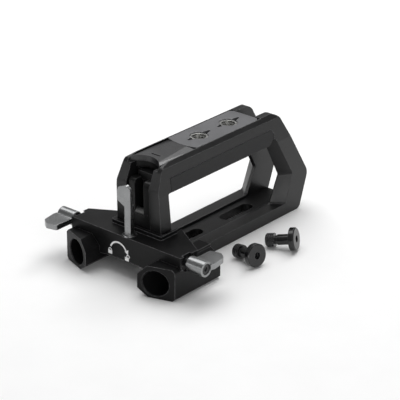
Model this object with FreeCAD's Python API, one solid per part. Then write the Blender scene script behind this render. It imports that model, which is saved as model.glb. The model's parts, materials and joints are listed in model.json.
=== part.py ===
import FreeCAD, Part
import math
import os

V = FreeCAD.Vector

# Camera top handle with a front block that clamps two support rods.
# X runs left to right along the block, Y runs from the block back along the handle, Z is up.
# Millimetres. The underside of the clamps and of the handle is z = 0.

# rod block
ROD_R = 7.5
ROD_X = 30.0
ROD_Z = 9.2
BLOCK_HALF = 41.5
BLOCK_TOP = 25.3
BLOCK_BOTTOM = 9.5
BLOCK_SIDE = 14.3
BLOCK_REAR_Y = 29.6
CLAMP_FRONT = -8.2
CLAMP_SLANT = 0.34
CLAMP_BACK = 34.7
CLAMP_INNER = 19.7
CLAMP_OUTER = 41.2
CLAMP_TOP = 19.3
PAD_TOP = 27.6

# levers
LEVER_Y = 6.2
LEVER_Z = 20.8
LEVER_R = 4.5
LEVER_END = 54.8
HUB_START = 43.6
STUD_R = 2.5
RUN_GAP = 0.05
POST_R = 2.7
POST_Y = 4.0

# handle
HALF_LOW = 17.2
HALF_MID = 16.0
HALF_TOP = 14.0
FOOT_FRONT = 12.2
FOOT_BOTTOM = 9.8
CHEEK_IN = 8.5
HUMP_IN = 7.0
LEG_IN = 3.3
LEG_OUT = 7.6
LINTEL = 5.6
LINTEL_TOP = 58.9
CHANNEL_LOW = 34.8
PIN_R = 2.2
PIN_Y = 14.8
PIN_Z = 36.0
TOP_IN = 10.8
FLOOR_TOP = 6.0
RAIL_TOP = 7.6
LAND = 9.8
SEAM = 0.45
DECK_Z = 67.0
DECK_UNDER = 63.4
PLATE_FRONT = 47.2
PLATE_BACK = 106.0
GRIP_LOW = 49.5
GRIP_HIGH = 58.8
GRIP_IN = 12.0
GAP = 0.3
SLOTS = ((48.3, 66.4), (85.2, 113.0))
SLOT_HALF = 3.8
SPINE_CEILING = 54.5
SCREW_X = 4.6
SCREW_Y = 77.2
HOLE_YS = (64.0, 90.4)
THREAD_R = 4.76
INSERT_R = 5.3
INSERT_LOW = 57.6

NODES = {}


def add(name, shape):
    """Keep one solid under its node name."""
    if shape.ShapeType == "Compound" and len(shape.Solids) == 1:
        shape = shape.Solids[0]
    NODES[name] = shape


def rounded_edges(points, place):
    """Closed loop of straight edges and corner arcs; points are (a, b, radius)."""
    count = len(points)
    ends = []
    edges = []
    for i in range(count):
        a, b, r = points[i]
        pa, pb, _ = points[i - 1]
        na, nb, _ = points[(i + 1) % count]
        u = V(pa - a, pb - b, 0)
        w = V(na - a, nb - b, 0)
        u.normalize()
        w.normalize()
        if r <= 0:
            ends.append((V(a, b, 0), None, V(a, b, 0)))
            continue
        half = u.getAngle(w) / 2
        reach = r / math.tan(half)
        mid = u + w
        mid.normalize()
        centre = V(a, b, 0) + mid * (r / math.sin(half))
        top = centre - mid * r
        ends.append((V(a, b, 0) + u * reach, top, V(a, b, 0) + w * reach))
    for i in range(count):
        start, top, stop = ends[i]
        if top is not None:
            edges.append(Part.Arc(place(start), place(top), place(stop)).toShape())
        nxt = ends[(i + 1) % count][0]
        if (nxt - stop).Length > 1e-6:
            edges.append(Part.makeLine(place(stop), place(nxt)))
    return Part.Wire(edges)


def three(points):
    """Give plain (a, b) points a zero corner radius."""
    return [p if len(p) == 3 else (p[0], p[1], 0.0) for p in points]


def prism_x(points, x0, x1):
    wire = rounded_edges(three(points), lambda p: V(x0, p.x, p.y))
    return Part.Face(wire).extrude(V(x1 - x0, 0, 0))


def prism_y(points, y0, y1):
    wire = rounded_edges(three(points), lambda p: V(p.x, y0, p.y))
    return Part.Face(wire).extrude(V(0, y1 - y0, 0))


def prism_z(points, z0, z1):
    wire = rounded_edges(three(points), lambda p: V(p.x, p.y, z0))
    return Part.Face(wire).extrude(V(0, 0, z1 - z0))


def box(x0, x1, y0, y1, z0, z1):
    return Part.makeBox(x1 - x0, y1 - y0, z1 - z0, V(x0, y0, z0))


def rod(r, start, along, length):
    return Part.makeCylinder(r, length, V(*start), V(*along))


def fuse(shapes):
    out = shapes[0]
    for s in shapes[1:]:
        out = out.fuse(s)
    return out.removeSplitter()


def mirror(shape):
    """The same piece on the other side of the middle plane."""
    return shape.mirror(V(0, 0, 0), V(1, 0, 0))


def slot_z(x, y0, y1, half, z0, z1):
    """A long hole through a plate, with round ends."""
    body = box(x - half, x + half, y0 + half, y1 - half, z0, z1)
    a = rod(half, (x, y0 + half, z0), (0, 0, 1), z1 - z0)
    b = rod(half, (x, y1 - half, z0), (0, 0, 1), z1 - z0)
    return fuse([body, a, b])


def hex_bar(flats, start, along, length):
    """A six-sided bar for key sockets."""
    r = flats / math.sqrt(3)
    pts = [V(r * math.cos(k * math.pi / 3), r * math.sin(k * math.pi / 3), 0) for k in range(7)]
    bar = Part.Face(Part.makePolygon(pts)).extrude(V(0, 0, length))
    turn = FreeCAD.Rotation(V(0, 0, 1), V(*along))
    bar.Placement = FreeCAD.Placement(V(*start), turn)
    return bar


# ---- handle ----

OUTLINE = [
    (FOOT_FRONT, FOOT_BOTTOM, 0.8),
    (FOOT_FRONT, 26.0, 0.0),
    (10.9, 53.0, 4.0),
    (15.9, 65.4, 5.0),
    (24.0, 66.9, 0.0),
    (119.6, 67.4, 9.0),
    (147.4, 22.0, 7.0),
    (139.2, 0.0, 4.0),
    (31.0, 0.0, 1.5),
    (27.2, FOOT_BOTTOM, 1.5),
]
# the window grows from its narrow land towards both faces of the plate, at its rear end
WINDOW_LAND = [
    (38.0, RAIL_TOP, 3.0),
    (21.2, 26.0, 5.0),
    (19.1, 50.0, 1.0),
    (108.6, 50.0, 0.3),
    (112.6, 49.6, 0.3),
    (126.6, 24.0, 2.5),
    (118.7, RAIL_TOP, 2.0),
]
WINDOW_INSIDE = [
    (38.0, RAIL_TOP - 0.05, 3.0),
    (21.2, 26.0, 5.0),
    (19.1, 50.0, 1.0),
    (109.8, 50.0, 0.3),
    (113.9, 49.7, 0.3),
    (128.0, 24.0, 2.5),
    (120.1, RAIL_TOP - 0.05, 2.0),
]
WINDOW_OUTSIDE = [
    (38.0, RAIL_TOP - 0.4, 3.0),
    (21.2, 26.0, 5.0),
    (19.1, 50.0, 1.0),
    (110.5, 50.0, 0.3),
    (115.4, 55.6, 2.0),
    (133.2, 25.6, 2.5),
    (126.0, RAIL_TOP - 0.4, 2.0),
]


def lean_cut(shift=0.0):
    """Wedges that lean the outer face in towards the top and bevel its top edge."""
    lean = prism_y([(HALF_LOW, -5.0), (HALF_LOW, 0.0), (HALF_MID, 50.0), (HALF_TOP, 65.5), (HALF_TOP - 0.3, 80.0),
                    (30.0, 80.0), (30.0, -5.0)], -5, 160)
    bevel = prism_y([(TOP_IN + 0.4, 67.3), (13.9, 65.0), (24.0, 61.4), (24.0, 80.0), (TOP_IN + 0.4, 80.0)], -5, 160)
    lean.translate(V(shift, 0, 0))
    return [lean, bevel]


def window():
    """Solid that fills the window: three loops of corners, joined with straight ruled sides."""
    loops = []
    for points, x in ((WINDOW_INSIDE, CHEEK_IN - 0.02), (WINDOW_LAND, LAND), (WINDOW_OUTSIDE, HALF_LOW + 0.32)):
        edges = rounded_edges(points, lambda p: V(x, p.x, p.y))
        loops.append(edges)
    return Part.makeLoft(loops, True, True)


def cheek():
    """Right side plate: a closed loop whose window is bevelled at its rear end."""
    body = prism_x(OUTLINE, CHEEK_IN, HALF_LOW + 0.3)
    body = body.cut(window())
    body = body.cut(box(CHEEK_IN - 1, TOP_IN + SEAM, 10.0, PLATE_BACK + 0.25, DECK_UNDER, 70.0))
    hump = prism_x(OUTLINE, HUMP_IN, CHEEK_IN + 0.1).common(box(0, 10, PLATE_BACK + 0.3, 140.0, 50.6, 70.0))
    body = body.fuse(hump)
    for tool in lean_cut():
        body = body.cut(tool)
    rib = box(HALF_MID - 0.5, HALF_LOW + 1.2, 13.0, 26.0, 11.0, 15.0)
    return body.fuse(rib)


def front_web():
    """Foot between the cheeks, with two prongs that carry the cross pin on either side of an open channel."""
    foot = prism_x([(12.6, FOOT_BOTTOM, 0.5), (12.6, CHANNEL_LOW), (20.8, CHANNEL_LOW), (20.8, FOOT_BOTTOM, 0.5)],
                   -CHEEK_IN, CHEEK_IN)
    wall = box(-CHEEK_IN, CHEEK_IN, 19.8, 20.8, CHANNEL_LOW - 1.0, 53.9)
    prong = prism_x([(12.55, CHANNEL_LOW - 1.0), (12.2, 55.6, 2.4), (18.0, 55.6), (18.0, 53.9), (20.2, 53.9),
                     (20.2, CHANNEL_LOW - 1.0)], LEG_IN, LEG_OUT)
    post = fuse([foot, wall, prong, mirror(prong)])
    pin = rod(PIN_R, (-LEG_IN - 3.0, PIN_Y, PIN_Z), (1, 0, 0), 2 * LEG_IN + 6.0)
    return post.cut(pin)


def arch(front, half_wide, back, z0, z1):
    """Flat piece whose front edge arches back in the middle."""
    pts = []
    for k in range(13):
        x = -half_wide + 2 * half_wide * k / 12
        pts.append((x, front - 5.6 * (x / TOP_IN) ** 2))
    pts.append((half_wide, back))
    pts.append((-half_wide, back))
    return prism_z(pts, z0, z1)


def spine():
    """Bar under the deck that ties both cheeks together, with a stepped front under the cover."""
    body = prism_x([(20.8, 50.6), (20.8, LINTEL_TOP), (25.4, LINTEL_TOP), (25.4, 63.4), (105.6, 63.4),
                    (105.6, 56.0), (101.0, 50.6)], -CHEEK_IN, CHEEK_IN)
    lintel = box(-LINTEL, LINTEL, 18.05, 22.0, 54.0, LINTEL_TOP)
    brow = arch(23.3, CHEEK_IN, 30.0, LINTEL_TOP + 0.7, 63.4)
    body = fuse([body, lintel, brow])
    body = body.cut(box(-7.2, 7.2, 32.0, 98.0, 49.0, SPINE_CEILING))
    for y in HOLE_YS:
        body = body.cut(rod(INSERT_R + 0.05, (0, y, 50.0), (0, 0, 1), 14.0))
    for sx in (-1, 1):
        body = body.cut(rod(1.25, (SCREW_X * sx, SCREW_Y, 50.0), (0, 0, 1), 14.0))
    return body


def deck_outline(front, back, bow, half):
    """Plan of a deck piece whose front edge bows by the given amount."""
    pts = []
    steps = 12
    for k in range(steps + 1):
        x = -half + 2 * half * k / steps
        pts.append((x, front - bow * (x / half) ** 2))
    pts.append((half, back))
    pts.append((-half, back))
    return pts


def top_cover():
    """Front cover: arched front edge, flat middle and a bevel along each side."""
    plan = prism_z(deck_outline(22.9, PLATE_FRONT + 4, 5.6, TOP_IN), DECK_UNDER + 0.05, DECK_Z)
    keep_out = prism_z(deck_outline(PLATE_FRONT - SEAM, 60.0, -2.2, TOP_IN + 1), 60.0, 70.0)
    body = plan.cut(keep_out)
    for sx in (-1, 1):
        a = V(8.6 * sx, 16.0, DECK_Z)
        b = V(4.8 * sx, 49.6, DECK_Z)
        c = V(TOP_IN * sx, 16.0, DECK_Z - 1.0)
        d = V(TOP_IN * sx, 49.6, DECK_Z - 1.15)
        up = V(0, 0, 3)
        faces = []
        quads = ((a, b, b + up, a + up), (c, d, d + up, c + up), (a, c, c + up, a + up),
                 (b, d, d + up, b + up), (a + up, b + up, d + up, c + up))
        for q in quads:
            tri = [q[0], q[1], q[2]], [q[0], q[2], q[3]]
            for t in tri:
                faces.append(Part.Face(Part.makePolygon([t[0], t[1], t[2], t[0]])))
        for t in ((a, b, d), (a, d, c)):
            faces.append(Part.Face(Part.makePolygon([t[0], t[1], t[2], t[0]])))
        wedge = Part.makeSolid(Part.makeShell(faces))
        if wedge.Volume < 0:
            wedge.reverse()
        body = body.cut(wedge)
    body = body.cut(prism_z([(-3.5, 25.9, 0.5), (3.5, 25.9, 0.5), (3.5, 27.1, 0.5), (-3.5, 27.1, 0.5)],
                            DECK_Z - 1.2, 70.0))
    return body


def accessory_plate():
    """Deck plate with two threaded mounting holes, each between two anti-twist slots."""
    pts = []
    steps = 12
    for k in range(steps + 1):
        x = -TOP_IN + 2 * TOP_IN * k / steps
        pts.append((x, PLATE_FRONT + 2.2 * (x / TOP_IN) ** 2))
    pts.append((TOP_IN, PLATE_BACK - 2.0))
    pts.append((TOP_IN - 2.0, PLATE_BACK))
    pts.append((-TOP_IN + 2.0, PLATE_BACK))
    pts.append((-TOP_IN, PLATE_BACK - 2.0))
    body = prism_z(pts, DECK_UNDER + 0.05, DECK_Z)
    for y in HOLE_YS:
        body = body.cut(rod(INSERT_R + 0.05, (0, y, 60.0), (0, 0, 1), 10.0))
        body = body.cut(Part.makeCone(INSERT_R, INSERT_R + 0.5, 0.5, V(0, y, DECK_Z - 0.5), V(0, 0, 1)))
        for sy in (-1, 1):
            wing = [(-1.7, y + 4.6 * sy, 0.0), (1.7, y + 4.6 * sy, 0.0), (0.8, y + 9.7 * sy, 0.7),
                    (-0.8, y + 9.7 * sy, 0.7)]
            body = body.cut(prism_z(wing, DECK_Z - 2.4, DECK_Z + 1.0))
    for sx in (-1, 1):
        body = body.cut(rod(1.25, (SCREW_X * sx, SCREW_Y, 60.0), (0, 0, 1), DECK_Z - 1.0 - 60.0))
    return body


def thread_insert(y):
    """Steel sleeve with an internal thread shown as stacked grooves."""
    top = DECK_Z - 0.7
    minor = THREAD_R - 0.75
    body = rod(INSERT_R, (0, y, INSERT_LOW), (0, 0, 1), top - INSERT_LOW)
    body = body.cut(rod(minor, (0, y, INSERT_LOW - 1), (0, 0, 1), 20.0))
    pitch = 1.5875
    z = INSERT_LOW + 0.5
    while z + pitch < top:
        for low, high, at in ((minor, THREAD_R - 0.2, z), (THREAD_R - 0.2, minor, z + pitch * 0.36)):
            body = body.cut(Part.makeCone(low, high, pitch * 0.36, V(0, y, at), V(0, 0, 1)))
        z += pitch
    return body


def plate_screw(sx):
    """Cap screw driven up from under the spine to hold the deck plate."""
    x = SCREW_X * sx
    head = rod(2.3, (x, SCREW_Y, SPINE_CEILING - 2.0), (0, 0, 1), 2.0)
    head = head.cut(hex_bar(2.0, (x, SCREW_Y, SPINE_CEILING - 1.2), (0, 0, -1), 3.0))
    shank = rod(1.24, (x, SCREW_Y, SPINE_CEILING), (0, 0, 1), DECK_Z - 1.2 - SPINE_CEILING)
    return fuse([shank, head])


def grip():
    """Right grip insert on the outside of the upper bar, with the pocket it sits in."""
    pts = [(21.9, GRIP_LOW + 0.02, 0.6), (21.9, GRIP_HIGH - 0.6, 0.6), (60.0, GRIP_HIGH),
           (112.6, GRIP_HIGH + 0.4, 2.4), (114.9, 54.9, 2.2), (109.4, 49.0, 1.6)]
    body = prism_x(pts, GRIP_IN, HALF_LOW)
    seam = [(21.9 - SEAM, GRIP_LOW - 2.0), (21.9 - SEAM, GRIP_HIGH - 0.6 + SEAM, 0.6), (60.0, GRIP_HIGH + SEAM),
            (112.8, GRIP_HIGH + 0.4 + SEAM, 2.6), (115.3, 54.9, 2.4), (109.4, 47.0)]
    pocket = body.fuse(prism_x(seam, HALF_MID - 1.2, HALF_LOW + 1.0))
    lean = lean_cut(0.1)[0]
    return (body.cut(lean).cut(window()), pocket)


def build_handle():
    """All pieces of the handle body."""
    grip_r, pocket = grip()
    grip_l = mirror(grip_r)
    right = cheek().cut(pocket)
    left = mirror(right)
    web = front_web()
    base = prism_x([(31.2, 1.0), (31.2, FLOOR_TOP), (139.4, FLOOR_TOP), (137.6, 1.0)], -CHEEK_IN, CHEEK_IN)
    for y0, y1 in SLOTS:
        base = base.cut(slot_z(0, y0, y1, SLOT_HALF, -1.0, 10.0))
    base = base.cut(box(-CHEEK_IN - 1, CHEEK_IN + 1, 30.0, 45.5, FLOOR_TOP - 1.8, 10.0))
    add("cheek_right", right)
    add("cheek_left", left)
    add("grip_right", grip_r)
    add("grip_left", grip_l)
    add("front_web", web)
    add("base_plate", base)
    add("spine", spine())
    add("top_cover", top_cover())
    add("accessory_plate", accessory_plate())
    add("thread_insert_front", thread_insert(HOLE_YS[0]))
    add("thread_insert_rear", thread_insert(HOLE_YS[1]))
    add("plate_screw_right", plate_screw(1))
    add("plate_screw_left", plate_screw(-1))
    add("cross_pin", rod(PIN_R - 0.01, (-LEG_IN - 2.9, PIN_Y, PIN_Z), (1, 0, 0), 2 * LEG_IN + 5.8))


# ---- rod block ----

def clamp_outline():
    """Section of one clamp, seen along the rod."""
    return [
        (CLAMP_INNER, 5.0, 0.4),
        (25.75, 0.0, 0.4),
        (39.7, 0.0, 0.4),
        (CLAMP_OUTER, 1.5, 0.4),
        (CLAMP_OUTER, 17.4, 0.4),
        (39.4, CLAMP_TOP, 0.4),
        (25.4, CLAMP_TOP, 0.4),
        (CLAMP_INNER, 13.6, 0.4),
    ]


def slant_cut():
    """Cutter ahead of the slanted front face of a clamp."""
    inner = CLAMP_FRONT + CLAMP_SLANT * (15.0 - ROD_X)
    outer = CLAMP_FRONT + CLAMP_SLANT * (50.0 - ROD_X)
    return prism_z([(15.0, inner), (50.0, outer), (50.0, -40.0), (15.0, -40.0)], -5, 40)


def rod_clamp():
    """Right clamp: eight-sided sleeve with a slanted front face."""
    body = prism_y(clamp_outline(), -20.0, CLAMP_BACK)
    body = body.cut(slant_cut())
    rear = prism_y([(34.0, 25.0), (34.0, 17.6), (37.0, 15.4), (CLAMP_OUTER + 1, 11.5),
                    (CLAMP_OUTER + 1, 25.0)], BLOCK_SIDE + 1.0, 60.0)
    return body.cut(rear)


def main_body():
    """Solid bar across both clamps, with a pocket that takes the handle foot."""
    pts = [(-BLOCK_HALF, 0.0, 0.5), (BLOCK_HALF, 0.0, 0.5), (BLOCK_HALF, BLOCK_SIDE, 0.6),
           (16.0, BLOCK_REAR_Y, 0.0), (-16.0, BLOCK_REAR_Y, 0.0), (-BLOCK_HALF, BLOCK_SIDE, 0.6)]
    body = prism_z(pts, BLOCK_BOTTOM, BLOCK_TOP)
    pad = prism_z([(-18.8, 9.6, 0.8), (18.8, 9.6, 0.8), (18.8, 24.0, 0.8), (-18.8, 24.0, 0.8)],
                  BLOCK_TOP - 1.0, PAD_TOP)
    return body.fuse(pad)


def lock_symbol(depth, extra):
    """Printed mark: an arc with a closed padlock and an open padlock at its ends."""
    y0 = -extra
    y1 = depth
    arc = []
    cx, cz, r_out, r_in = -4.9, 14.0, 6.8, 5.8
    steps = 14
    a0, a1 = math.radians(24), math.radians(160)
    for k in range(steps + 1):
        a = a0 + (a1 - a0) * k / steps
        arc.append((cx + r_out * math.cos(a), cz + r_out * math.sin(a)))
    for k in range(steps + 1):
        a = a1 - (a1 - a0) * k / steps
        arc.append((cx + r_in * math.cos(a), cz + r_in * math.sin(a)))
    parts = [prism_y(arc, y0, y1)]
    head = [(-0.1, 16.3), (2.6, 17.7), (2.4, 14.4)]
    parts.append(prism_y(head, y0, y1))
    for x, z, lift in ((-11.3, 12.6, 0.0), (1.5, 11.9, 0.9)):
        parts.append(prism_y([(x - 1.5, z - 1.2), (x + 1.5, z - 1.2), (x + 1.5, z + 1.1), (x - 1.5, z + 1.1)], y0, y1))
        ring = rod(1.25, (x + lift, y0, z + 1.3 + lift * 0.3), (0, 1, 0), y1 - y0)
        ring = ring.cut(rod(0.75, (x + lift, y0 - 1, z + 1.3 + lift * 0.3), (0, 1, 0), y1 - y0 + 2))
        ring = ring.cut(box(x - 3, x + 4, y0 - 1, y1 + 1, z - 3, z + 0.9))
        parts.append(ring)
    return parts


def hollow(body):
    """Cut the rod bores, the lever seats and the handle pocket out of one piece of the block."""
    for sx in (-1, 1):
        x = ROD_X * sx
        body = body.cut(rod(ROD_R, (x, -30.0, ROD_Z), (0, 1, 0), 80.0))
        body = body.cut(Part.makeCone(ROD_R, ROD_R + 0.7, 0.7, V(x, CLAMP_BACK - 0.7, ROD_Z), V(0, 1, 0)))
        out = BLOCK_HALF * sx
        body = body.cut(rod(5.6, (out, LEVER_Y, LEVER_Z), (-sx, 0, 0), 1.6))
        body = body.cut(rod(STUD_R + RUN_GAP, (out, LEVER_Y, LEVER_Z), (-sx, 0, 0), 24.0))
        shoe = box(x - 5.05, x + 5.05, LEVER_Y - 4.05, LEVER_Y + 4.05, 14.0, 18.4)
        body = body.cut(shoe)
    pocket = box(-HALF_LOW - GAP, HALF_LOW + GAP, FOOT_FRONT - GAP, 60.0, -5.0, 60.0)
    body = body.cut(pocket)
    groove = box(-HALF_LOW - 1.6, HALF_LOW + 1.6, 12.6, 60.0, 10.6, 15.4)
    body = body.cut(groove)
    body = body.cut(rod(POST_R + RUN_GAP, (0, POST_Y, 12.6), (0, 0, 1), 30.0))
    body = body.cut(rod(4.3, (0, POST_Y, BLOCK_TOP - 0.6), (0, 0, 1), 10.0))
    return body.cut(box(-4.05, 4.05, POST_Y, 20.0, 13.95, 20.05))


def rod_block():
    """Bar above and between the two clamps."""
    seat = prism_y(clamp_outline(), -20.0, 50.0).fuse(box(40.5, 43.0, -20.0, 50.0, 1.5, 17.4))
    body = main_body().cut(seat).cut(mirror(seat))
    relief = prism_y([(-19.2, 8.0), (19.2, 8.0), (18.0, 9.4), (10.0, 10.4), (-10.0, 10.4), (-18.0, 9.4)], -1.0, 40.0)
    return hollow(body).cut(relief)


def clamp_bevel(body):
    """Rounded lead-in around the slanted mouth of each rod bore."""
    for sx in (-1, 1):
        x = ROD_X * sx
        edges = []
        for e in body.Edges:
            c = e.BoundBox.Center
            if abs(c.x - x) < 0.8 and c.y < -4 and abs(c.z - ROD_Z) < 0.8 and e.Length > 20:
                edges.append(e)
        try:
            out = body.makeChamfer(0.5, edges)
            if out.isValid() and len(out.Solids) == 1:
                body = out
        except Exception:
            pass
    return body


def build_block():
    clamp = clamp_bevel(hollow(rod_clamp()))
    body = rod_block()
    marks = lock_symbol(0.35, 1.0)
    for m in marks:
        body = body.cut(m)
    add("rod_block", body)
    add("clamp_right", clamp)
    add("clamp_left", mirror(clamp))
    ink = lock_symbol(0.35, 0.0)
    add("lock_symbol", Part.makeCompound(ink))


# ---- levers ----

def lever_right():
    """Rod lever: round hub on the clamp stud and a flat finger paddle."""
    hub = rod(LEVER_R, (HUB_START, LEVER_Y, LEVER_Z), (1, 0, 0), LEVER_END - HUB_START)
    lip = Part.makeCone(LEVER_R - 0.5, LEVER_R, 0.5, V(HUB_START - 0.5, LEVER_Y, LEVER_Z), V(1, 0, 0))
    hub = hub.fuse(lip)
    blade = prism_z([(43.4, LEVER_Y, 0.0), (43.4, LEVER_Y + 16.6, 1.6), (50.2, LEVER_Y + 18.2, 2.0),
                     (54.6, LEVER_Y + 15.0, 3.0), (56.0, LEVER_Y + 6.0, 2.0), (54.6, LEVER_Y, 0.0)],
                    LEVER_Z - 1.5, LEVER_Z + 1.7)
    body = fuse([hub, blade])
    body = body.cut(rod(3.25, (LEVER_END - 1.9, LEVER_Y, LEVER_Z), (1, 0, 0), 5.0))
    body = body.cut(rod(STUD_R, (38.0, LEVER_Y, LEVER_Z), (1, 0, 0), 12.0))
    body = body.cut(rod(1.5, (38.0, LEVER_Y, LEVER_Z), (1, 0, 0), 20.0))
    edges = []
    for e in body.Edges:
        c = e.CenterOfMass
        flat = abs(e.BoundBox.ZLength) < 1e-6
        if flat and c.y > LEVER_Y + 5 and e.Length > 2.5:
            edges.append(e)
    try:
        soft = body.makeFillet(0.6, edges)
        if soft.isValid() and len(soft.Solids) == 1:
            body = soft
    except Exception:
        pass
    return body


def stud_right():
    """Threaded stud that draws the clamp shut; the relief ring rides over the shoe."""
    body = rod(STUD_R, (18.4, LEVER_Y, LEVER_Z), (1, 0, 0), 31.5)
    for k in range(8):
        x = 19.2 + 0.8 * k
        ring = rod(STUD_R + 1, (x, LEVER_Y, LEVER_Z), (1, 0, 0), 0.3)
        ring = ring.cut(rod(STUD_R - 0.35, (x - 1, LEVER_Y, LEVER_Z), (1, 0, 0), 3.0))
        body = body.cut(ring)
    body = body.cut(rod(1.25, (44.0, LEVER_Y, LEVER_Z), (1, 0, 0), 10.0))
    return body


def cap_right():
    """Socket screw in the end of the lever hub."""
    head = rod(3.2, (LEVER_END - 1.9, LEVER_Y, LEVER_Z), (1, 0, 0), 1.5)
    head = head.cut(hex_bar(2.6, (LEVER_END - 1.3, LEVER_Y, LEVER_Z), (1, 0, 0), 3.0))
    shank = rod(1.24, (44.4, LEVER_Y, LEVER_Z), (1, 0, 0), LEVER_END - 1.9 - 44.4)
    return fuse([head, shank])


def shoe(sx):
    """Pad that the stud presses onto the rod."""
    x = ROD_X * sx
    body = box(x - 5.0, x + 5.0, LEVER_Y - 4.0, LEVER_Y + 4.0, 16.0, 18.2)
    return body.cut(rod(ROD_R + 0.1, (x, -30.0, ROD_Z), (0, 1, 0), 80.0))


def half_turn(shape):
    """The left lever set is the right one turned half a turn about the vertical."""
    out = shape.copy()
    out.rotate(V(0, LEVER_Y, 0), V(0, 0, 1), 180)
    return out


def post_lever():
    """Centre lever: a round post that turns in the block, a flat bar above it and a flag at the top."""
    post = rod(POST_R, (0, POST_Y, 12.9), (0, 0, 1), BLOCK_TOP + 0.9 - 12.9)
    bar = prism_z([(-2.35, POST_Y - 1.75, 0.5), (2.35, POST_Y - 1.75, 0.5), (2.35, POST_Y + 1.75, 0.5),
                   (-2.35, POST_Y + 1.75, 0.5)], BLOCK_TOP + 0.4, 44.0)
    flag = prism_y([(2.3, 43.0, 0.3), (2.3, 53.6, 1.6), (-1.0, 56.0, 2.0), (-6.6, 53.6, 1.6), (-7.6, 51.0, 0.8),
                    (-7.6, 45.4, 0.8), (-0.9, 42.0, 0.6)], POST_Y - 1.75, POST_Y + 0.25)
    return post.fuse(bar).fuse(flag)


def post_collar():
    """Thin washer round the foot of the post."""
    ring = rod(3.9, (0, POST_Y, BLOCK_TOP - 0.5), (0, 0, 1), 0.9)
    return ring.cut(rod(POST_R, (0, POST_Y, 10.0), (0, 0, 1), 30.0))


def lock_shoe():
    """Pad that the centre post presses against the handle foot."""
    body = box(-4.0, 4.0, POST_Y + 0.8, 12.45, 14.0, 20.0)
    return body.cut(rod(POST_R + 0.4, (0, POST_Y, 10.0), (0, 0, 1), 20.0))


def build_levers():
    pieces = {"lever": lever_right(), "stud": stud_right(), "cap_screw": cap_right()}
    for name, shape in pieces.items():
        add(name + "_right", shape)
        add(name + "_left", half_turn(shape))
    add("shoe_right", shoe(1))
    add("shoe_left", shoe(-1))
    add("centre_lever", post_lever())
    add("centre_collar", post_collar())
    add("lock_shoe", lock_shoe())


# ---- shoulder bolts ----

BOLT_LEN = 18.4
HEAD_R = 6.9
HEAD_T = 3.4
TIP_R = 4.15
THREAD_END = 5.2


def bolt():
    """Shoulder bolt along +X: grooved thread, plain neck and a wide socket head."""
    tip = Part.makeCone(TIP_R - 0.7, TIP_R, 0.7, V(0, 0, 0), V(1, 0, 0))
    thread = rod(TIP_R, (0.7, 0, 0), (1, 0, 0), THREAD_END - 0.7).fuse(tip)
    for k in range(3):
        x = 1.3 + 1.3 * k
        ring = rod(TIP_R + 1, (x, 0, 0), (1, 0, 0), 0.6)
        ring = ring.cut(rod(TIP_R - 0.6, (x - 1, 0, 0), (1, 0, 0), 3.0))
        thread = thread.cut(ring)
    neck = rod(2.5, (THREAD_END - 0.1, 0, 0), (1, 0, 0), 2.0)
    start = THREAD_END + 1.8
    shoulder = rod(3.15, (start, 0, 0), (1, 0, 0), BOLT_LEN - HEAD_T - start + 0.1)
    x0 = BOLT_LEN - HEAD_T
    head = rod(HEAD_R, (x0, 0, 0), (1, 0, 0), HEAD_T - 0.6)
    rim = Part.makeCone(HEAD_R, HEAD_R - 0.6, 0.6, V(BOLT_LEN - 0.6, 0, 0), V(1, 0, 0))
    body = fuse([thread, neck, shoulder, head, rim])
    body = body.cut(hex_bar(4.0, (BOLT_LEN - 2.2, 0, 0), (1, 0, 0), 5.0))
    return body


def lay_down(shape, heading, spot):
    """Rest the bolt on its thread tip and head rim, head centre over the given spot."""
    run = BOLT_LEN - HEAD_T - 0.7
    tilt = math.degrees(math.atan((HEAD_R - TIP_R) / run))
    out = shape.copy()
    out.rotate(V(0, 0, 0), V(0, 1, 0), -tilt)
    out.rotate(V(0, 0, 0), V(0, 0, 1), heading)
    low = out.BoundBox.ZMin
    a = math.radians(heading)
    reach = BOLT_LEN * math.cos(math.radians(tilt))
    out.translate(V(spot[0] - reach * math.cos(a), spot[1] - reach * math.sin(a), -low))
    return out


def build_bolts():
    add("bolt_front", lay_down(bolt(), -9.6, (48.7, 58.8)))
    add("bolt_rear", lay_down(bolt(), 23.0, (52.2, 90.9)))


build_handle()
build_block()
build_levers()
build_bolts()

# the frame origin is the bottom centre of everything together
whole = Part.makeCompound(list(NODES.values())).BoundBox
shift = V(-(whole.XMin + whole.XMax) / 2, -(whole.YMin + whole.YMax) / 2, -whole.ZMin)
print("shift", shift, "size", whole.XLength, whole.YLength, whole.ZLength)

os.makedirs("parts", exist_ok=True)
for name, shape in NODES.items():
    out = shape.copy()
    out.translate(shift)
    if not out.isValid() or out.Volume <= 0:
        print("check", name, out.isValid(), out.Volume)
    print(name, len(out.Solids), round(out.Volume, 1))
    out.exportStep("parts/" + name + ".step")
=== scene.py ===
import json
import math

import bpy
from mathutils import Matrix, Vector

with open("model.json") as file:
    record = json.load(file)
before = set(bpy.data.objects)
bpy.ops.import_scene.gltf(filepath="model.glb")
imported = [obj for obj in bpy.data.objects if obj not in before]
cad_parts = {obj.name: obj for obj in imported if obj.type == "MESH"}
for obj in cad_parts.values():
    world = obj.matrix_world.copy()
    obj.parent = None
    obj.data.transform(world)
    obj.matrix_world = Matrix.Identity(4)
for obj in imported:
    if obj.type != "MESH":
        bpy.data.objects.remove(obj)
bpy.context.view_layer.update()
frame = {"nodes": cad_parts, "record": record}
nodes = frame["nodes"]


# ---- looks: named values ----

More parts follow.
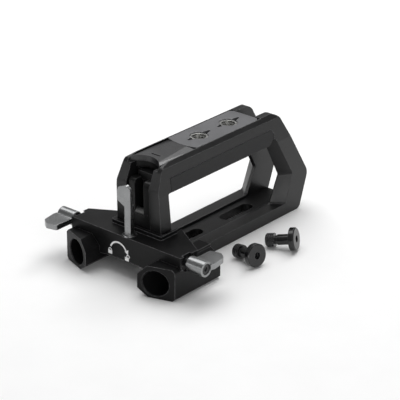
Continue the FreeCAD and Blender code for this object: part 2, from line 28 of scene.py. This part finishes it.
BEVEL_SAMPLES = 6
WEAR_AND_HIGHLIGHT_START = 0.985          # lighter edge colour, part wear and part painted highlight, begins where the flat and the rounded normal have this dot product
WEAR_AND_HIGHLIGHT_FULL = 0.80            # and is complete at this one
EDGE_RADIUS = 0.0005        # rounding of a metal edge, in metres
SMALL_EDGE = 0.0004
TURNED_EDGE = 0.0003
BLAST_GRAIN = 2600.0        # grain of bead-blasted metal, cells per metre
SILVER_GRAIN = 3200.0
PEBBLE_GRAIN = 2400.0
PAPER_GRAIN = 900.0
# the next two values break up and scale the lighter edges, which are wear with a painted edge
# highlight
WEAR_AND_HIGHLIGHT_PATCHES = 420.0
WEAR_AND_HIGHLIGHT_STRENGTH = 0.85
METAL_IOR = 1.5

# name: dark colour, light colour, roughness, colour of a worn edge with a painted highlight on it,
# specular level
ANODISED = {
    "frame_black": ((0.003, 0.003, 0.0032), (0.009, 0.009, 0.0094), 0.32, (0.17, 0.17, 0.175), 0.36),
    # core_black is frame_black made darker, with dimmer edges and weaker gloss: painted shade for the
    # parts inside the handle
    "core_black": ((0.003, 0.003, 0.0031), (0.007, 0.007, 0.0073), 0.36, (0.09, 0.09, 0.093), 0.22),
    "block_black": ((0.004, 0.004, 0.0042), (0.009, 0.009, 0.0094), 0.34, (0.32, 0.32, 0.33), 0.14),
    # cover_black and plate_black are lighter copies of the black anodising: painted reflection of the
    # light above on these top faces
    "cover_black": ((0.016, 0.016, 0.017), (0.030, 0.030, 0.032), 0.30, (0.16, 0.16, 0.165), 0.6),
    "plate_black": ((0.092, 0.092, 0.097), (0.135, 0.135, 0.142), 0.32, (0.30, 0.30, 0.305), 0.6),
}

# name: dark colour, light colour, roughness, metallic, colour of a worn edge with a painted highlight
# on it
STEEL = {
    "bright_steel": ((0.30, 0.30, 0.29), (0.55, 0.55, 0.53), 0.26, 1.0, (0.55, 0.55, 0.53)),
    "pin_steel": ((0.07, 0.07, 0.07), (0.14, 0.14, 0.138), 0.34, 0.7, (0.3, 0.3, 0.3)),
    "dark_steel": ((0.008, 0.008, 0.0085), (0.022, 0.022, 0.023), 0.30, 0.2, (0.18, 0.18, 0.18)),
    "black_oxide": ((0.003, 0.003, 0.0033), (0.009, 0.009, 0.0097), 0.17, 0.0, (0.26, 0.26, 0.27)),
}


# ---- looks: building them ----

class Nodes:
    """A material's node tree, with short calls to build it."""

    def __init__(self, name):
        self.mat = bpy.data.materials.new(name)
        self.mat.use_nodes = True
        self.tree = self.mat.node_tree
        self.shader = self.tree.nodes["Principled BSDF"]
        self.place = self.tree.nodes.new("ShaderNodeTexCoord").outputs["Object"]

    def new(self, kind, links=None, **values):
        n = self.tree.nodes.new("ShaderNode" + kind)
        for key, value in values.items():
            setattr(n, key, value)
        for key, value in (links or {}).items():
            socket = n.inputs[key]
            if isinstance(value, bpy.types.NodeSocket):
                self.tree.links.new(value, socket)
            else:
                socket.default_value = value
        return n

    def noise(self, scale, detail=2.0, rough=0.5, where=None):
        links = {"Vector": where or self.place, "Scale": scale, "Detail": detail, "Roughness": rough}
        return self.new("TexNoise", links).outputs["Fac"]

    def ramp(self, fac, low, high, start=0.3, stop=0.7):
        n = self.new("ValToRGB", {"Fac": fac})
        n.color_ramp.elements[0].position = start
        n.color_ramp.elements[1].position = stop
        n.color_ramp.elements[0].color = (*low, 1.0)
        n.color_ramp.elements[1].color = (*high, 1.0)
        return n.outputs["Color"]

    def span(self, fac, low, high, start=0.3, stop=0.7):
        links = {"Value": fac, "From Min": start, "From Max": stop, "To Min": low, "To Max": high}
        return self.new("MapRange", links).outputs["Result"]

    def math(self, op, a, b=0.0):
        return self.new("Math", {0: a, 1: b}, operation=op).outputs["Value"]

    def blend(self, a, share_a, b, share_b):
        """Two values added up, each by its share."""
        return self.math("ADD", self.math("MULTIPLY", a, share_a), self.math("MULTIPLY", b, share_b))

    def mix(self, fac, a, b):
        n = self.new("Mix", None, data_type="RGBA")
        for index, value in ((0, fac), (6, a), (7, b)):
            if isinstance(value, bpy.types.NodeSocket):
                self.tree.links.new(value, n.inputs[index])
            elif index:
                n.inputs[index].default_value = (*value, 1.0)
            else:
                n.inputs[index].default_value = value
        return n.outputs[2]

    def edge(self, radius):
        """How far the rounded normal leaves the flat one: 0 on faces, rising along edges."""
        soft = self.new("Bevel", {"Radius": radius}, samples=BEVEL_SAMPLES).outputs["Normal"]
        flat = self.new("NewGeometry").outputs["Normal"]
        dot = self.new("VectorMath", {0: soft, 1: flat}, operation="DOT_PRODUCT").outputs["Value"]
        return soft, self.span(dot, 1.0, 0.0, WEAR_AND_HIGHLIGHT_FULL, WEAR_AND_HIGHLIGHT_START)

    def bump(self, height, strength, distance, normal=None):
        links = {"Height": height, "Strength": strength, "Distance": distance}
        if normal is not None:
            links["Normal"] = normal
        return self.new("Bump", links).outputs["Normal"]

    def finish(self, color, rough, normal=None, **fixed):
        for key, value in (("Base Color", color), ("Roughness", rough), ("Normal", normal)):
            if value is None:
                continue
            if isinstance(value, bpy.types.NodeSocket):
                self.tree.links.new(value, self.shader.inputs[key])
            else:
                self.shader.inputs[key].default_value = value
        for key, value in fixed.items():
            self.shader.inputs[key.replace("_", " ")].default_value = value
        return self.mat


def anodised(name, low, high, rough, wear_and_highlight_color, level):
    """Bead-blasted black anodised metal: fine grain, faint clouding, lighter edges that are worn and
    carry a painted highlight.
    """
    m = Nodes(name)
    cloud = m.noise(60.0, 4.0, 0.6)
    fine = m.noise(BLAST_GRAIN, 3.0, 0.6)
    soft, wear_and_highlight_mask = m.edge(EDGE_RADIUS)
    base = m.ramp(m.blend(cloud, 0.6, fine, 0.4), low, high)
    patch = m.span(m.noise(WEAR_AND_HIGHLIGHT_PATCHES, 3.0, 0.7), 0.35, 1.0, 0.35, 0.6)
    # lighter edges in patches: wear with a painted edge highlight
    wear_and_highlight_share = m.math("MULTIPLY", m.math("MULTIPLY", wear_and_highlight_mask, patch), WEAR_AND_HIGHLIGHT_STRENGTH)
    color = m.mix(wear_and_highlight_share, base, wear_and_highlight_color)
    roughness = m.span(m.blend(fine, 0.5, cloud, 0.5), rough - 0.05, rough + 0.06, 0.35, 0.65)
    normal = m.bump(fine, 0.35, 0.00006, soft)
    return m.finish(color, roughness, normal, Metallic=0.0, IOR=METAL_IOR, Specular_IOR_Level=level)


def silver(name):
    """Bead-blasted silver metal with a fine sparkle, cloudy tone and lighter edges, worn and with a
    painted highlight.
    """
    m = Nodes(name)
    cloud = m.noise(90.0, 4.0, 0.6)
    fine = m.noise(SILVER_GRAIN, 3.0, 0.6)
    soft, wear_and_highlight_mask = m.edge(SMALL_EDGE)
    base = m.ramp(m.blend(cloud, 0.5, fine, 0.5), (0.215, 0.219, 0.221), (0.33, 0.335, 0.338))
    # lighter edges: wear with a painted edge highlight
    color = m.mix(m.math("MULTIPLY", wear_and_highlight_mask, 0.5), base, (0.54, 0.545, 0.55))
    roughness = m.span(fine, 0.24, 0.34, 0.35, 0.65)
    normal = m.bump(fine, 0.22, 0.00004, soft)
    return m.finish(color, roughness, normal, Metallic=1.0)


def steel(name, low, high, rough, metallic, wear_and_highlight_color):
    """Machined steel: fine scratches packed close along Z, with small blotches."""
    m = Nodes(name)
    stretch = m.new("Mapping", {"Vector": m.place, "Scale": (900.0, 900.0, 5200.0)}).outputs["Vector"]
    lines = m.noise(1.0, 3.0, 0.6, stretch)
    cloud = m.noise(240.0, 3.0, 0.6)
    soft, wear_and_highlight_mask = m.edge(TURNED_EDGE)
    base = m.ramp(m.blend(lines, 0.5, cloud, 0.5), low, high)
    # lighter edges: wear with a painted edge highlight
    color = m.mix(m.math("MULTIPLY", wear_and_highlight_mask, 0.5), base, wear_and_highlight_color)
    roughness = m.span(lines, rough - 0.06, rough + 0.08, 0.35, 0.65)
    normal = m.bump(lines, 0.25, 0.00004, soft)
    return m.finish(color, roughness, normal, Metallic=metallic)


def rubber(name):
    """Matte moulded grip: fine leather-like pebble with a soft sheen."""
    m = Nodes(name)
    links = {"Vector": m.place, "Scale": PEBBLE_GRAIN}
    cell = m.new("TexVoronoi", links, feature="SMOOTH_F1").outputs["Distance"]
    cloud = m.noise(80.0, 3.0, 0.6)
    soft, wear_and_highlight_mask = m.edge(SMALL_EDGE)
    base = m.ramp(cloud, (0.014, 0.014, 0.0145), (0.024, 0.024, 0.025))
    # lighter edges: wear with a painted edge highlight
    color = m.mix(m.math("MULTIPLY", wear_and_highlight_mask, 0.4), base, (0.05, 0.05, 0.052))
    roughness = m.span(cloud, 0.58, 0.70, 0.35, 0.65)
    normal = m.bump(cell, 0.35, 0.00008, soft)
    return m.finish(color, roughness, normal, IOR=METAL_IOR, Specular_IOR_Level=0.35)


def ink(name):
    """Pad-printed white mark, a little uneven."""
    m = Nodes(name)
    cloud = m.noise(900.0, 3.0, 0.6)
    base = m.ramp(cloud, (0.70, 0.70, 0.70), (0.86, 0.86, 0.86))
    return m.finish(base, m.span(cloud, 0.50, 0.62), m.bump(cloud, 0.2, 0.00003))


def floor_look(name):
    """White table top with a hardly visible paper grain."""
    m = Nodes(name)
    cloud = m.noise(30.0, 3.0, 0.6)
    base = m.ramp(cloud, (0.93, 0.93, 0.93), (0.95, 0.95, 0.95))
    return m.finish(base, 0.75, m.bump(m.noise(PAPER_GRAIN), 0.05, 0.00005))


looks = {
    "grip_rubber": rubber("grip_rubber"),
    "satin_silver": silver("satin_silver"),
    "white_ink": ink("white_ink"),
}
for slot, values in ANODISED.items():
    looks[slot] = anodised(slot, *values)
for slot, values in STEEL.items():
    looks[slot] = steel(slot, *values)
for part in frame["record"]["subparts"]:
    obj = nodes[part["node"]]
    obj.data.materials.clear()
    obj.data.materials.append(looks[part["material_slot"]])


# ---- stage ----

FLOOR_HALF = 3.0
FLOOR_Z = -0.0002           # a hair under the part


def plane(name, half, z):
    """Square level sheet round the origin."""
    mesh = bpy.data.meshes.new(name)
    corners = [(-half, -half, z), (half, -half, z), (half, half, z), (-half, half, z)]
    mesh.from_pydata(corners, [], [(0, 1, 2, 3)])
    obj = bpy.data.objects.new(name, mesh)
    bpy.context.scene.collection.objects.link(obj)
    return obj


floor = plane("floor", FLOOR_HALF, FLOOR_Z)
floor.data.materials.append(floor_look("floor_white"))


# ---- light ----

# name, place, point it faces, size, power in watts
LIGHTS = [
    ("key_above", (-0.25, 0.25, 0.95), (0.0, 0.0, 0.03), (1.1, 1.1), 10.4),
    ("fill_right", (0.95, -0.45, 0.45), (0.04, -0.05, 0.01), (0.5, 0.5), 1.8),
    ("low_front_right", (0.80, -0.90, 0.17), (0.0, 0.05, 0.02), (0.5, 0.26), 1.8),
    ("low_front_left", (-0.72, -0.95, 0.22), (0.0, -0.04, 0.05), (0.30, 0.16), 0.45),
    ("bevel_glint", (-0.14, 0.62, 0.66), (0.0, 0.0, 0.06), (0.20, 0.20), 0.75),
]
WORLD_STRENGTH = 0.28


def area(name, place, target, size, power):
    """White soft box that faces the target."""
    light = bpy.data.lights.new(name, "AREA")
    light.shape = "RECTANGLE"
    light.size, light.size_y = size
    light.energy = power
    obj = bpy.data.objects.new(name, light)
    obj.location = place
    obj.rotation_euler = (Vector(target) - Vector(place)).to_track_quat("-Z", "Y").to_euler()
    bpy.context.scene.collection.objects.link(obj)


for values in LIGHTS:
    area(*values)
world = bpy.data.worlds.new("studio")
world.use_nodes = True
background = world.node_tree.nodes["Background"]
background.inputs["Color"].default_value = (1.0, 1.0, 1.0, 1.0)
background.inputs["Strength"].default_value = WORLD_STRENGTH
bpy.context.scene.world = world
bpy.context.scene.view_settings.view_transform = "Standard"


# ---- camera ----

AZIMUTH = math.radians(41.135)
ELEVATION = math.radians(24.968)
DISTANCE = 1.034383
BLOCK_FRONT_Y = -0.06740367  # front face of the block, in metres
TARGET = Vector((0.0, BLOCK_FRONT_Y + 0.040, 0.030))
SENSOR = 36.0
LENS = 162.0
SHIFT = (0.0710, 0.0167)
CLIP_START = 0.01

look = Vector((-math.sin(AZIMUTH) * math.cos(ELEVATION), math.cos(AZIMUTH) * math.cos(ELEVATION),
               -math.sin(ELEVATION)))
side = Vector((math.cos(AZIMUTH), math.sin(AZIMUTH), 0.0))
up = side.cross(look)
data = bpy.data.cameras.new("camera")
data.sensor_width = SENSOR
data.lens = LENS
data.shift_x, data.shift_y = SHIFT
data.clip_start = CLIP_START
camera = bpy.data.objects.new("camera", data)
place = TARGET - look * DISTANCE
turn = Matrix((side, up, -look)).transposed().to_4x4()
camera.matrix_world = Matrix.Translation(place) @ turn
bpy.context.scene.collection.objects.link(camera)
bpy.context.scene.camera = camera
